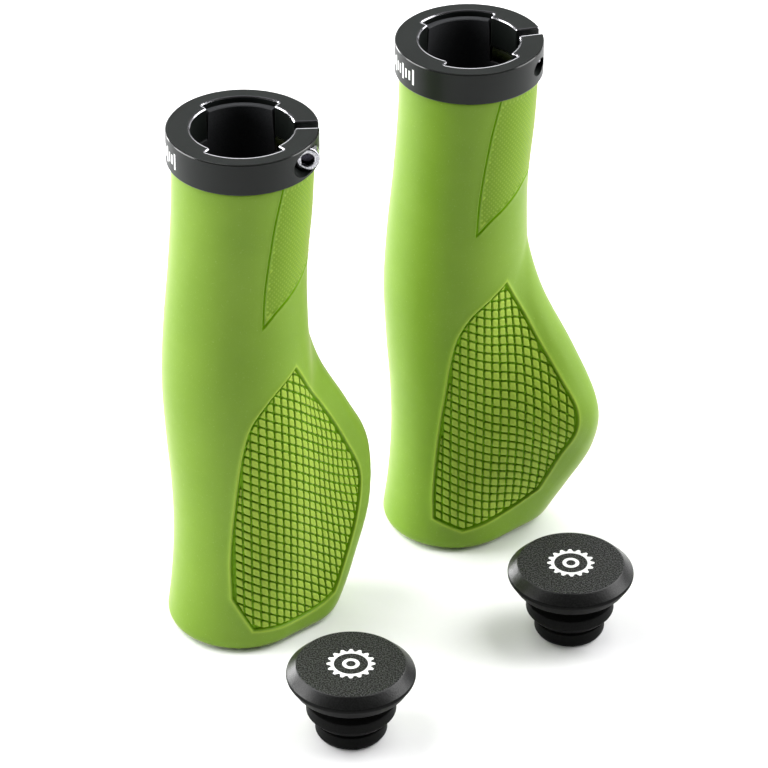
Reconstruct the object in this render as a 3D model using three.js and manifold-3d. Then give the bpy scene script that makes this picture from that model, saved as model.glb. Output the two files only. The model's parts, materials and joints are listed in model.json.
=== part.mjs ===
// A pair of ergonomic lock-on handlebar grips with their two push-in bar end plugs, standing ready to
// be fitted. Millimetres, +Z up.
//
// Each grip is a hard core tube with a moulded rubber sleeve round it, a split lock ring that sits on
// two tabs of the core, and the clamp screw that closes the ring on the handlebar. The grips stand on
// their outboard ends with the rings on top. The right grip is the mirror image of the left one.
//
// A grip's own frame: +Z is the handlebar's axis, from the outboard end towards the ring. +X is the
// way the palm wing points. The palm face looks towards -Y and the finger face towards +Y.
import * as THREE from "three";
import { ParametricGeometry } from "three/addons/geometries/ParametricGeometry.js";
import { mergeVertices } from "three/addons/utils/BufferGeometryUtils.js";
import Module from "manifold-3d";

// ---- driving dimensions ----

const BAR_RADIUS = 11.1; // a 22.2 mm handlebar
const GAP = 0.3; // between neighbours that touch on the real grip

const SLEEVE_LENGTH = 118.8;
const FOOT_ROUND = 3; // round on the sleeve's outboard edge
const TOP_ROUND = 0.6; // chamfer on the sleeve's edge next to the ring

// The sleeve's outline at stations along the bar. body is the radius of the round part, whose centre
// lies back from the bar's axis, opposite to the wing. reach is how far the wing's rounded tip is from
// the axis, tip is the tip's radius, and lean is how many degrees the wing leans to the finger side.
const STATIONS = [
  { z: 0, body: 16.6, back: 2.7, reach: 18.8, tip: 10.6, lean: -8 },
  { z: 12, body: 16.4, back: 1.5, reach: 24.7, tip: 8.8, lean: 8 },
  { z: 24, body: 16.4, back: 0.8, reach: 30.2, tip: 7.6, lean: 17.5 },
  { z: 36, body: 16.6, back: 0.8, reach: 31.8, tip: 7.4, lean: 24.5 },
  { z: 49, body: 16.9, back: 1.4, reach: 25.4, tip: 7.1, lean: 20 },
  { z: 64, body: 16.7, back: 2.2, reach: 17.5, tip: 6.9, lean: 19 },
  { z: 78, body: 15.9, back: 2.3, reach: 13.5, tip: 6.9, lean: 15 },
  { z: 93, body: 15.2, back: 1.6, reach: 12.6, tip: 7, lean: 10 },
  { z: 107, body: 15.3, back: 0.5, reach: 12.6, tip: 7.2, lean: 5 },
  { z: 118.8, body: 15.4, back: 0, reach: 12.6, tip: 7.4, lean: 0 },
];

const LUG_BORE = BAR_RADIUS + 0.3; // where the sleeve reaches inward over the core's collar

const CORE = {
  bore: BAR_RADIUS + 0.2,
  tube: 12.2, // outer radius of the tube
  collar: 12.8, // outer radius of the collar and of what stands on it
  foot: 0.6, // the core stops this far above the sleeve's outboard face
  collarHeight: 5,
  collarTop: 115.4,
  tabTop: 125.4,
  wallTop: SLEEVE_LENGTH,
};

// What stands on the core's collar, by the angle from the slot and the half angle that it takes up: the
// two tabs that the ring sits on, and the lower wall between them, opposite the slot. Next to the slot
// the sleeve's rubber reaches inward as a lug instead, so that it can't turn on the core.
const RISERS = [
  { middle: -90, half: 38.6, top: CORE.tabTop },
  { middle: 90, half: 38.6, top: CORE.tabTop },
  { middle: 180, half: 52, top: CORE.wallTop },
];

const BLADE = {
  thick: 3.2,
  lean: 19,
  root: 11.7, // inside the tube's wall
  reach: 23.5,
  low: 10,
  lowOut: 20,
  highOut: 40,
  high: 60,
};

const RING = {
  radius: 16.5,
  height: 7.5,
  bottom: SLEEVE_LENGTH + GAP,
  land: BAR_RADIUS + 0.05, // the two lands that grip the bar
  recess: CORE.collar + GAP, // the two recesses that take the core's tabs
  recessHalfAngle: 40,
  slot: 2.6,
  chamfer: 0.35,
  turn: -9.5, // degrees from the wing's direction to the slot
};

const SCREW = {
  shank: 1.5, // an M3 x 12 socket head cap screw
  head: 2.75,
  headHeight: 3,
  length: 12,
  socketFlats: 2.5,
  socketDepth: 1.5,
  fromAxis: 13.4, // from the bar's axis to the screw's
  seat: 5.6, // from the slot's middle plane to the head's seat
  edge: 0.3, // chamfer on the head and on the tip
};
const SCREW_POCKET = SCREW.head + GAP;
const SCREW_HOLE = SCREW.shank + GAP;

const PLUG = {
  rim: 14.2,
  height: 18,
  face: 11.95, // flat top inside the chamfer
  rimTop: 15.8,
  rimBottom: 15.1,
  seat: 12.6, // underside that meets the bar's end
  seatOuter: 12.6,
  neck: 7.3,
  fins: [
    { low: 4.5, foot: 8.4, wide: 6.2, radius: 9.95, top: 8.6, edge: 9.75 },
    { low: 0, foot: 7.3, wide: 1, radius: 7.95, top: 3.5, edge: 7.9 },
  ],
  hollow: 5.2,
  hollowTop: 14,
};

// Where each piece of the set stands, and the way each wing points, in degrees from +X.
const LAYOUT = {
  leftGrip: { x: 0, y: 0, turn: 13.5 },
  rightGrip: { x: 49, y: 39, turn: 4.5 },
  leftPlug: { x: 23, y: -45.2 },
  rightPlug: { x: 72.2, y: -7.2 },
};

const ROUND_STEPS = 48; // sides on the large round shapes
const PLUG_STEPS = 36;
const SMALL_STEPS = 20;
const LEVEL_STEP = 7; // between the sleeve's cross-sections
const FOOT_STEP = 30; // degrees, round the sleeve's outboard edge
const OVERLAP = 1; // how far a shape runs into what it joins, or past what it cuts
const SAME_POINT = 1e-4; // vertices nearer than this are one
const GRAZING = 0.05; // a ray this near to parallel with an edge doesn't meet it

// ---- materials ----

const rubber = new THREE.MeshStandardMaterial({ color: 0x86ac38, roughness: 0.7, metalness: 0 });
const nylon = new THREE.MeshStandardMaterial({ color: 0x151617, roughness: 0.55, metalness: 0 });
const anodised = new THREE.MeshStandardMaterial({ color: 0x2c302f, roughness: 0.4, metalness: 0.9 });
const zinc = new THREE.MeshStandardMaterial({ color: 0xc9ccd0, roughness: 0.25, metalness: 1 });
const plugPlastic = new THREE.MeshStandardMaterial({ color: 0x1d1f1f, roughness: 0.6, metalness: 0 });

// ---- helpers ----

const wasm = await Module();
wasm.setup();

const rad = THREE.MathUtils.degToRad;

function solid(geometry) {
  const plain = geometry.index ? geometry.toNonIndexed() : geometry.clone();
  for (const name of Object.keys(plain.attributes)) {
    if (name !== "position") plain.deleteAttribute(name);
  }
  const merged = mergeVertices(plain, SAME_POINT);
  const vertProperties = merged.attributes.position.array;
  const triVerts = new Uint32Array(merged.index.array);
  return new wasm.Manifold(new wasm.Mesh({ numProp: 3, vertProperties, triVerts }));
}

function geometryOf(made) {
  const { vertProperties, triVerts } = made.getMesh();
  const geometry = new THREE.BufferGeometry();
  geometry.setAttribute("position", new THREE.BufferAttribute(vertProperties, 3));
  geometry.setIndex(new THREE.BufferAttribute(triVerts, 1));
  geometry.computeVertexNormals();
  return geometry;
}

function cylinder(radius, low, high, steps = ROUND_STEPS) {
  return new THREE.CylinderGeometry(radius, radius, high - low, steps)
    .rotateX(Math.PI / 2)
    .translate(0, 0, (low + high) / 2);
}

// A body of revolution about Z, from [radius, z] pairs listed so that the material is on their left.
function turned(pairs, steps) {
  return new THREE.LatheGeometry(pairs.map(([r, z]) => new THREE.Vector2(r, z)), steps)
    .rotateX(Math.PI / 2);
}

// Points along an arc about the origin, no further apart than one side of the large round shapes.
function arc(radius, from, to) {
  const count = Math.max(1, Math.ceil(Math.abs(to - from) / (360 / ROUND_STEPS)));
  return Array.from({ length: count + 1 }, (_, i) => {
    const angle = rad(from + ((to - from) * i) / count);
    return new THREE.Vector2(radius * Math.cos(angle), radius * Math.sin(angle));
  });
}

function named(name, geometry, material) {
  const mesh = new THREE.Mesh(geometry, material);
  mesh.name = name;
  return mesh;
}

// ---- the sleeve's cross-section ----

const stationValues = STATIONS.flatMap((s) => [s.body, s.back, s.reach, s.tip, s.lean]);
const stationCurve = new THREE.CubicInterpolant(STATIONS.map((s) => s.z), stationValues, 5);

function sectionAt(z) {
  const [body, back, reach, tip, lean] = stationCurve.evaluate(THREE.MathUtils.clamp(z, 0, SLEEVE_LENGTH));
  return { body, back, reach, tip, lean: rad(lean) };
}

// Distance from the origin along direction u to the far side of a circle, or 0 if the ray misses it.
function rayToCircle(u, centre, radius) {
  const along = u.dot(centre);
  const inside = along * along - centre.lengthSq() + radius * radius;
  return inside > 0 ? along + Math.sqrt(inside) : 0;
}

// Radius of the cross-section at angle theta: the outline of a band stretched round two circles, the
// round body and the wing's tip.
function sectionRadius(theta, { body, back, reach, tip, lean }) {
  const u = new THREE.Vector2(Math.cos(theta), Math.sin(theta));
  const a = new THREE.Vector2(-back, 0);
  const b = new THREE.Vector2(Math.cos(lean), Math.sin(lean)).multiplyScalar(reach - tip);
  let radius = Math.max(rayToCircle(u, a, body), rayToCircle(u, b, tip));
  const between = b.clone().sub(a);
  const distance = between.length();
  if (distance <= body - tip) return radius;
  const spread = Math.acos((body - tip) / distance);
  for (const side of [-1, 1]) {
    const normalAngle = between.angle() + side * spread;
    const normal = new THREE.Vector2(Math.cos(normalAngle), Math.sin(normalAngle));
    const facing = u.dot(normal);
    if (facing <= GRAZING) continue;
    const hit = u.clone().multiplyScalar((a.dot(normal) + body) / facing);
    const start = a.clone().addScaledVector(normal, body);
    const end = b.clone().addScaledVector(normal, tip);
    const share = hit.clone().sub(start).dot(between) / end.sub(start).dot(between);
    if (share >= 0 && share <= 1) radius = Math.max(radius, hit.length());
  }
  return radius;
}

// ---- the pieces of one grip ----

// The support blade inside the wing, grown by clearance on every side.
function bladeGeometry(clearance) {
  const outline = new THREE.Shape([
    new THREE.Vector2(CORE.bore, BLADE.low - clearance),
    new THREE.Vector2(CORE.tube, BLADE.low - clearance),
    new THREE.Vector2(BLADE.reach + clearance, BLADE.lowOut - clearance),
    new THREE.Vector2(BLADE.reach + clearance, BLADE.highOut + clearance),
    new THREE.Vector2(CORE.tube, BLADE.high + clearance),
    new THREE.Vector2(CORE.bore, BLADE.high + clearance),
  ]);
  const thick = BLADE.thick + 2 * clearance;
  return new THREE.ExtrudeGeometry(outline, { depth: thick, bevelEnabled: false })
    .rotateX(Math.PI / 2)
    .translate(0, thick / 2, 0)
    .rotateZ(rad(BLADE.lean));
}

// One of the core's risers, grown by clearance.
function riserGeometry(riser, clearance) {
  const half = riser.half + THREE.MathUtils.radToDeg(clearance / CORE.bore);
  const inner = CORE.bore - (clearance > 0 ? OVERLAP : 0);
  const outline = new THREE.Shape([
    ...arc(CORE.collar + clearance, -half, half),
    ...arc(inner, half, -half),
  ]);
  const low = CORE.collarTop - OVERLAP;
  const depth = riser.top + clearance - low;
  return new THREE.ExtrudeGeometry(outline, { depth, bevelEnabled: false })
    .rotateZ(rad(riser.middle + RING.turn))
    .translate(0, 0, low);
}

// Gives the sleeve's outline and bore, level by level.
function sleeveGeometry() {
  const levels = [];
  const outer = (z, inset) => levels.push((theta) => [sectionRadius(theta, sectionAt(z)) - inset, z]);
  const inner = (radius, z) => levels.push(() => [radius, z]);
  for (let angle = 0; angle < 90; angle += FOOT_STEP) {
    outer(FOOT_ROUND * (1 - Math.cos(rad(angle))), FOOT_ROUND * (1 - Math.sin(rad(angle))));
  }
  const straight = SLEEVE_LENGTH - FOOT_ROUND - TOP_ROUND;
  const count = Math.round(straight / LEVEL_STEP);
  for (let i = 0; i <= count; i += 1) outer(FOOT_ROUND + (straight * i) / count, 0);
  outer(SLEEVE_LENGTH, TOP_ROUND);
  const step = CORE.collarTop - CORE.collarHeight - GAP;
  inner(LUG_BORE, SLEEVE_LENGTH);
  inner(LUG_BORE, CORE.collarTop + GAP);
  inner(CORE.collar + GAP, CORE.collarTop + GAP);
  inner(CORE.collar + GAP, step);
  inner(CORE.tube + GAP, step);
  inner(CORE.tube + GAP, 0);

  const around = new ParametricGeometry(
    (u, v, target) => {
      const theta = 2 * Math.PI * (u % 1);
      const [r, z] = levels[Math.round(v * levels.length) % levels.length](theta);
      target.set(r * Math.cos(theta), r * Math.sin(theta), z);
    },
    ROUND_STEPS,
    levels.length,
  );
  let sleeve = solid(around).subtract(solid(bladeGeometry(GAP)));
  for (const riser of RISERS) sleeve = sleeve.subtract(solid(riserGeometry(riser, GAP)));
  return geometryOf(sleeve);
}

function coreGeometry() {
  const collarLow = CORE.collarTop - CORE.collarHeight;
  const tube = solid(turned([
    [CORE.bore, CORE.foot],
    [CORE.tube, CORE.foot],
    [CORE.tube, collarLow],
    [CORE.collar, collarLow],
    [CORE.collar, CORE.collarTop],
    [CORE.bore, CORE.collarTop],
    [CORE.bore, CORE.foot],
  ], ROUND_STEPS));
  const blade = solid(bladeGeometry(0)).subtract(solid(cylinder(BLADE.root, 0, SLEEVE_LENGTH)));
  let core = tube.add(blade);
  for (const riser of RISERS) core = core.add(solid(riserGeometry(riser, 0)));
  return geometryOf(core);
}

// The split ring's plan: an open C, with the slot along +X.
function ringOutline() {
  const slotAt = (radius) => THREE.MathUtils.radToDeg(Math.asin(RING.slot / 2 / radius));
  const recessStart = 90 - RING.recessHalfAngle;
  const recessEnd = 90 + RING.recessHalfAngle;
  return new THREE.Shape([
    ...arc(RING.radius, slotAt(RING.radius), 360 - slotAt(RING.radius)),
    ...arc(RING.land, -slotAt(RING.land), -recessStart),
    ...arc(RING.recess, -recessStart, -recessEnd),
    ...arc(RING.land, -recessEnd, recessEnd - 360),
    ...arc(RING.recess, recessEnd, recessStart),
    ...arc(RING.land, recessStart, slotAt(RING.land)),
  ]);
}

function ringGeometry() {
  const body = new THREE.ExtrudeGeometry(ringOutline(), {
    depth: RING.height - 2 * RING.chamfer,
    bevelThickness: RING.chamfer,
    bevelSize: RING.chamfer,
    bevelOffset: -RING.chamfer,
    bevelSegments: 1,
  }).translate(0, 0, RING.chamfer);
  // Cuts along the screw's own axis, whose +Z points out of the head.
  const reach = RING.radius + OVERLAP;
  const cuts = [
    cylinder(SCREW_HOLE, -reach, reach, SMALL_STEPS),
    cylinder(SCREW_POCKET, SCREW.seat, reach, SMALL_STEPS),
  ];
  let ring = solid(body);
  for (const cut of cuts) ring = ring.subtract(solid(alongScrew(cut, RING.height / 2)));
  return geometryOf(ring);
}

// Turns a shape whose axis is Z into place on the clamp screw's axis: +Z becomes -Y, the head's side.
function alongScrew(geometry, height) {
  return geometry.rotateX(Math.PI / 2).translate(SCREW.fromAxis, 0, height);
}

function screwGeometry() {
  const tip = SCREW.seat - SCREW.length;
  const top = SCREW.seat + SCREW.headHeight;
  const body = solid(turned([
    [0, tip],
    [SCREW.shank - SCREW.edge, tip],
    [SCREW.shank, tip + SCREW.edge],
    [SCREW.shank, SCREW.seat],
    [SCREW.head, SCREW.seat],
    [SCREW.head, top - SCREW.edge],
    [SCREW.head - SCREW.edge, top],
    [0, top],
  ], SMALL_STEPS));
  const corner = SCREW.socketFlats / 2 / Math.cos(Math.PI / 6);
  const socket = solid(cylinder(corner, top - SCREW.socketDepth, top + OVERLAP, 6));
  return alongScrew(geometryOf(body.subtract(socket)), RING.height / 2);
}

function grip(side) {
  const group = new THREE.Group();
  group.add(named(`${side}_sleeve`, sleeveGeometry(), rubber));
  group.add(named(`${side}_core`, coreGeometry(), nylon));
  const clamp = new THREE.Group();
  clamp.add(named(`${side}_lock_ring`, ringGeometry(), anodised));
  clamp.add(named(`${side}_clamp_screw`, screwGeometry(), zinc));
  clamp.position.z = RING.bottom;
  clamp.rotation.z = rad(RING.turn);
  group.add(clamp);
  return group;
}

// ---- the bar end plug ----

function plugGeometry() {
  const [upper, lower] = PLUG.fins;
  const fin = (f) => [[f.foot, f.low], [f.radius, f.wide], [f.edge, f.top], [PLUG.neck, f.top]];
  return turned([
    [0, PLUG.hollowTop],
    [PLUG.hollow, PLUG.hollowTop],
    [PLUG.hollow, lower.low],
    ...fin(lower),
    [PLUG.neck, upper.low],
    ...fin(upper),
    [PLUG.neck, PLUG.seat],
    [PLUG.seatOuter, PLUG.seat],
    [PLUG.rim, PLUG.rimBottom],
    [PLUG.rim, PLUG.rimTop],
    [PLUG.face, PLUG.height],
    [0, PLUG.height],
  ], PLUG_STEPS);
}

// ---- the set ----

const grips = {
  left: grip("left"),
  right: grip("right"),
};
for (const side of ["left", "right"]) {
  const { x, y, turn } = LAYOUT[`${side}Grip`];
  grips[side].position.set(x, y, 0);
  grips[side].rotation.z = rad(turn);
}
grips.right.scale.y = -1;

const set = new THREE.Group();
set.add(grips.left, grips.right);
for (const side of ["left", "right"]) {
  const plug = named(`${side}_end_plug`, plugGeometry(), plugPlastic);
  plug.position.set(LAYOUT[`${side}Plug`].x, LAYOUT[`${side}Plug`].y, 0);
  set.add(plug);
}

// The origin is on the ground, under the middle of the whole set.
const middle = new THREE.Box3().setFromObject(set, true).getCenter(new THREE.Vector3());
set.position.set(-middle.x, -middle.y, 0);

export default set;
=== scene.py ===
"""A pair of ergonomic lock-on handlebar grips with their two bar end plugs.

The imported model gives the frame: where each grip's axis is, which way its clamp screw points and where
each plug stands. Lengths below are millimetres in a grip's own frame, and place() turns them into metres
in the row frame. In that frame +Z is the bar's axis from the outboard end to the ring, +X is the way the
palm wing points, and the palm face looks towards -Y. The right grip is the left one's mirror image.
"""
import json
import math

import bmesh
import bpy
import numpy as np
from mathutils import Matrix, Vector
from mathutils.geometry import delaunay_2d_cdt, tessellate_polygon
from mathutils.kdtree import KDTree


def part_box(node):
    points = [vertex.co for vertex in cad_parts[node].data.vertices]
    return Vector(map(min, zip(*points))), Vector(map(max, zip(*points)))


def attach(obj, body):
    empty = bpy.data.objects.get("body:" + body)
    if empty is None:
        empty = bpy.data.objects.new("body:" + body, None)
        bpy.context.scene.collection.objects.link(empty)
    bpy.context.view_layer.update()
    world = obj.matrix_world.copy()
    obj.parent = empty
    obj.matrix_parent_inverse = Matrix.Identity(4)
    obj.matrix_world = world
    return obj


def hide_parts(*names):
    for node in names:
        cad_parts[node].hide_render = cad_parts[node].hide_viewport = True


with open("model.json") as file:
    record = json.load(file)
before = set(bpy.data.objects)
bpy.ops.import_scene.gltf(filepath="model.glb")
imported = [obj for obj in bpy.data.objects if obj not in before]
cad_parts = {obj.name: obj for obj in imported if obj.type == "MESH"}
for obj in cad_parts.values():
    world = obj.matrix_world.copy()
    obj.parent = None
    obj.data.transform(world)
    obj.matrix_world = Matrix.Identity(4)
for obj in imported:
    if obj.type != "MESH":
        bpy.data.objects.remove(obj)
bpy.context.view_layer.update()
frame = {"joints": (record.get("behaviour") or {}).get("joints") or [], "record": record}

MM = 0.001
WELD = 0.002 * MM  # points of a piece that are closer than this are one

# ---- the grip's sizes, as the CAD model has them ----

SLEEVE_TOP = 118.8
FOOT_ROUND = 3.0
TOP_ROUND = 0.6
# z, radius of the round body, how far its centre lies back from the axis, reach of the wing's tip from
# the axis, radius of that tip, and the wing's lean to the finger side in degrees
STATIONS = np.array([
    (0, 16.6, 2.7, 18.8, 10.6, -8),
    (12, 16.4, 1.5, 24.7, 8.8, 8),
    (24, 16.4, 0.8, 30.2, 7.6, 17.5),
    (36, 16.6, 0.8, 31.8, 7.4, 24.5),
    (49, 16.9, 1.4, 25.4, 7.1, 20),
    (64, 16.7, 2.2, 17.5, 6.9, 19),
    (78, 15.9, 2.3, 13.5, 6.9, 15),
    (93, 15.2, 1.6, 12.6, 7, 10),
    (107, 15.3, 0.5, 12.6, 7.2, 5),
    (118.8, 15.4, 0, 12.6, 7.4, 0),
])

CORE_BORE = 11.3
CORE_TUBE = 12.2
CORE_COLLAR = 12.8
CORE_FOOT = 0.6
COLLAR_LOW = 110.4
COLLAR_TOP = 115.4
WALL_TOP = 118.8  # of the collar, away from the slot
TAB_TOP = 125.4
TAB_HALF = 38.6  # degrees
TAB_RAMP = 1.5  # degrees over which a tab's edge rises
GAP = 0.3
LUG_BORE = 11.4

RING_TURN = -9.5  # degrees from the wing to the ring's slot
RING_LOW = 119.1
RING_HEIGHT = 7.5
RING_RADIUS = 16.5
RING_LAND = 11.15
RING_RECESS = 13.1
RECESS_HALF = 40.0  # degrees
RING_SLOT = 2.6
RING_CORNER = 0.55
# Distance in from the ring's plan, and distance from its upper or lower face
RING_CHAMFER = [(0.5, 0.0), (0.2, 0.06), (0.0, 0.28)]

SCREW_OUT = 13.4  # from the bar's axis to the screw's
SCREW_SEAT = 5.6
SCREW_HEAD = 2.75
SCREW_HEAD_HEIGHT = 3.0
SCREW_SHANK = 1.5
SCREW_LENGTH = 12.0
SCREW_PITCH = 0.5
SCREW_THREAD = 0.16  # depth
SCREW_SOCKET = 1.25  # half of the hex key's width
SCREW_SOCKET_DEPTH = 1.5


# ---- placing things ----

class Grip:
    """One grip's place in the row frame, from its bore and its clamp screw's axis."""

    def __init__(self, side):
        self.side = side
        self.mirror = 1 if side == "left" else -1
        openings = frame["record"]["physics"]["openings"]
        low, high = next(o["box_m"] for o in openings if o["name"] == f"{side}_bar_bore")
        self.x, self.y = (low[0] + high[0]) / 2, (low[1] + high[1]) / 2
        axis = next(j["axis"] for j in frame["joints"] if j["name"] == f"{side}_screw_turn")
        slot = math.atan2(axis[1], axis[0]) + self.mirror * math.pi / 2
        self.wing = slot - self.mirror * math.radians(RING_TURN)

    def place(self, points):
        """Points of the grip's frame, as metres in the row frame."""
        return turned(points * (1, self.mirror, 1), self.wing) * MM + (self.x, self.y, 0)

    def piece(self, name, points, faces, materials, sharp=None):
        """A mesh object from points of the grip's frame. The mirrored grip turns its faces over."""
        if self.mirror < 0:
            faces = [tuple(reversed(face)) for face in faces]
        return mesh_piece(f"{self.side}_{name}", self.place(points), faces, materials, sharp)


def turned(points, angle):
    """Points turned about Z by an angle in radians."""
    x, y, z = points.T
    c, s = math.cos(angle), math.sin(angle)
    return np.stack([x * c - y * s, x * s + y * c, z], 1)


def from_ring(points):
    """From the ring's own frame, whose +X points to its slot, to the grip's."""
    return turned(points, math.radians(RING_TURN))


def from_slot(degrees):
    """How many degrees each direction in the grip's frame is from the ring's slot."""
    return np.abs((degrees - RING_TURN + 180) % 360 - 180)


def mesh_piece(name, vertices, faces, materials, sharp=None):
    """A mesh object in metres. sharp is the angle, in degrees, over which an edge is drawn sharp."""
    mesh = bpy.data.meshes.new(name)
    mesh.from_pydata(np.asarray(vertices).tolist(), [], faces)
    for material in materials:
        mesh.materials.append(material)
    mesh.polygons.foreach_set("use_smooth", [True] * len(mesh.polygons))
    if sharp is not None:
        mesh.set_sharp_from_angle(angle=math.radians(sharp))
    mesh.update()
    piece = bpy.data.objects.new(name, mesh)
    bpy.context.scene.collection.objects.link(piece)
    return piece


# ---- meshes from rings ----

def whole_turn(count):
    return np.arange(count) * 2 * math.pi / count


def ring_at(turn, radius, z):
    """Points at the angles turn. The radius and the height are one number, or one for each angle."""
    radius, z = np.broadcast_to(radius, turn.shape), np.broadcast_to(z, turn.shape)
    return np.stack([radius * np.cos(turn), radius * np.sin(turn), z], 1)


def band(low, high):
    """Quads between two closed rings of vertex numbers."""
    count = len(low)
    return [(low[i], low[(i + 1) % count], high[(i + 1) % count], high[i]) for i in range(count)]


def loft(rings, closed=False):
    """Quads between rings of equal count, each a closed loop. closed joins the last to the first."""
    count = len(rings[0])
    ids = [range(n * count, (n + 1) * count) for n in range(len(rings))]
    if closed:
        ids.append(ids[0])
    faces = [face for low, high in zip(ids, ids[1:]) for face in band(low, high)]
    return np.concatenate(rings), faces


def capped(rings):
    """The same quads as loft's, with a face on each end."""
    vertices, faces = loft(rings)
    count = len(rings[0])
    faces.append(tuple(reversed(range(count))))
    faces.append(tuple(range(len(vertices) - count, len(vertices))))
    return vertices, faces


def revolved(profile, count):
    """A closed body of revolution from [radius, z] pairs, listed with the material on their left."""
    turn = whole_turn(count)
    return capped([ring_at(turn, max(radius, 0.001), z) for radius, z in profile])


def joined(parts):
    """Several meshes' vertices and faces as one mesh's."""
    vertices, faces = [], []
    start = 0
    for more, more_faces in parts:
        faces += [tuple(i + start for i in face) for face in more_faces]
        vertices.append(more)
        start += len(more)
    return np.concatenate(vertices), faces


# ---- curves ----

def hermite(t, start, end, start_slope, end_slope, span=1.0):
    """The cubic between two values with the given slopes, where t runs from 0 to 1 over the span."""
    from_ends = (2 * t**3 - 3 * t**2 + 1) * start + (3 * t**2 - 2 * t**3) * end
    from_slopes = (t**3 - 2 * t**2 + t) * start_slope + (t**3 - t**2) * end_slope
    return from_ends + span * from_slopes


def corner_cut(before, corner, after, radius, share):
    """The radius, or that share of the corner's shorter side."""
    shorter = min(np.linalg.norm(before - corner), np.linalg.norm(after - corner))
    return min(radius, share * shorter)


def bend(before, corner, after, cut, steps):
    """The corner as a curve whose two ends lie the length cut from it along its sides."""
    back, ahead = before - corner, after - corner
    start = corner + back / np.linalg.norm(back) * cut
    end = corner + ahead / np.linalg.norm(ahead) * cut
    return [
        (1 - t) ** 2 * start + 2 * t * (1 - t) * corner + t * t * end
        for t in np.linspace(0, 1, steps + 1)
    ]


def rounded_profile(pairs, radius, steps):
    """The same profile with its inner corners rounded."""
    points = np.array(pairs, float)
    out = [points[0]]
    for corner in zip(points, points[1:], points[2:]):
        out += bend(*corner, corner_cut(*corner, radius, 0.45), steps)
    out.append(points[-1])
    return out


# ---- the sleeve's surface ----

def station_values(z):
    """The five section sizes at height z: a cubic whose slope at a station is its neighbours' mean."""
    heights, values = STATIONS[:, 0], STATIONS[:, 1:]
    z = np.clip(z, 0, SLEEVE_TOP)
    secants = np.diff(values, axis=0) / np.diff(heights)[:, None]
    slopes = np.vstack([secants[:1], (secants[:-1] + secants[1:]) / 2, secants[-1:]])
    i = np.clip(np.searchsorted(heights, z, side="right") - 1, 0, len(heights) - 2)
    span = (heights[i + 1] - heights[i])[..., None]
    t = (z - heights[i])[..., None] / span
    return hermite(t, values[i], values[i + 1], slopes[i], slopes[i + 1], span)


def sleeve_radius(theta, z):
    """Distance from the axis to the skin: a band stretched round the body and the wing's tip."""
    body, back, reach, tip, lean = np.moveaxis(station_values(z), -1, 0)
    lean = np.radians(lean)
    c, s = np.cos(theta), np.sin(theta)
    ax, ay = -back, 0 * back
    bx, by = (reach - tip) * np.cos(lean), (reach - tip) * np.sin(lean)

    def ray(x, y, r):
        along = c * x + s * y
        inside = along**2 - (x**2 + y**2 - r**2)
        return np.where(inside > 0, along + np.sqrt(np.maximum(inside, 0)), 0)

    radius = np.maximum(ray(ax, ay, body), ray(bx, by, tip))
    distance = np.hypot(bx - ax, by - ay)
    heading = np.arctan2(by - ay, bx - ax)
    spread = np.arccos(np.clip((body - tip) / np.maximum(distance, 1e-6), -1, 1))
    for side in (-1, 1):
        nx, ny = np.cos(heading + side * spread), np.sin(heading + side * spread)
        facing = c * nx + s * ny
        hit = np.where(facing > 0.05, (ax * nx + ay * ny + body) / np.maximum(facing, 0.05), -1)
        sx, sy = ax + body * nx, ay + body * ny
        share = (c * hit - sx) * (bx - ax) + (s * hit - sy) * (by - ay)
        whole = (bx + tip * nx - sx) * (bx - ax) + (by + tip * ny - sy) * (by - ay)
        on_flat = (share >= 0) & (share <= whole) & (distance > body - tip)
        radius = np.where(on_flat, np.maximum(radius, hit), radius)
    return radius


def sleeve_point(theta, z, inset=0.0):
    r = sleeve_radius(theta, z) - inset
    return np.stack([r * np.cos(theta), r * np.sin(theta), z + 0 * theta], -1)


def sleeve_normal(theta, z):
    step = 1e-3
    around = sleeve_point(theta + step, z) - sleeve_point(theta - step, z)
    up = sleeve_point(theta, z + step) - sleeve_point(theta, z - step)
    normal = np.cross(around, up)
    return normal / np.linalg.norm(normal, axis=-1, keepdims=True)


class Side:
    """Flat coordinates on one side of the sleeve: s is the length round the section from the line a
    quarter turn from the wing, growing towards the wing, and z is the height."""

    LENGTH_STEP = 0.25
    HEIGHT_STEP = 0.5
    SWEEP = np.radians(np.arange(-80, 131, 1.0))
    HEIGHTS = np.arange(0, SLEEVE_TOP + HEIGHT_STEP, HEIGHT_STEP)
    LENGTHS = np.arange(-26, 64, LENGTH_STEP)

    def __init__(self, sign):
        self.sign = sign  # -1 on the palm side, 1 on the finger side
        sweep, z = np.meshgrid(self.SWEEP, self.HEIGHTS)
        theta = sign * (math.pi / 2 - sweep)
        p = sleeve_point(theta, z)
        step = np.linalg.norm(np.diff(p, axis=1), axis=-1)
        along = np.concatenate([np.zeros((len(z), 1)), np.cumsum(step, axis=1)], axis=1)
        along -= along[:, [int(np.argmin(np.abs(self.SWEEP)))]]
        self.table = np.array([np.interp(self.LENGTHS, a, t) for a, t in zip(along, theta)])

    def theta(self, s, z):
        i = (np.asarray(s) - self.LENGTHS[0]) / self.LENGTH_STEP
        j = np.asarray(z) / self.HEIGHT_STEP
        i0 = np.clip(i.astype(int), 0, len(self.LENGTHS) - 2)
        j0 = np.clip(j.astype(int), 0, len(self.HEIGHTS) - 2)
        fi, fj = i - i0, j - j0
        low = self.table[j0, i0] * (1 - fi) + self.table[j0, i0 + 1] * fi
        high = self.table[j0 + 1, i0] * (1 - fi) + self.table[j0 + 1, i0 + 1] * fi
        return low * (1 - fj) + high * fj


# ---- outlines ----

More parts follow.
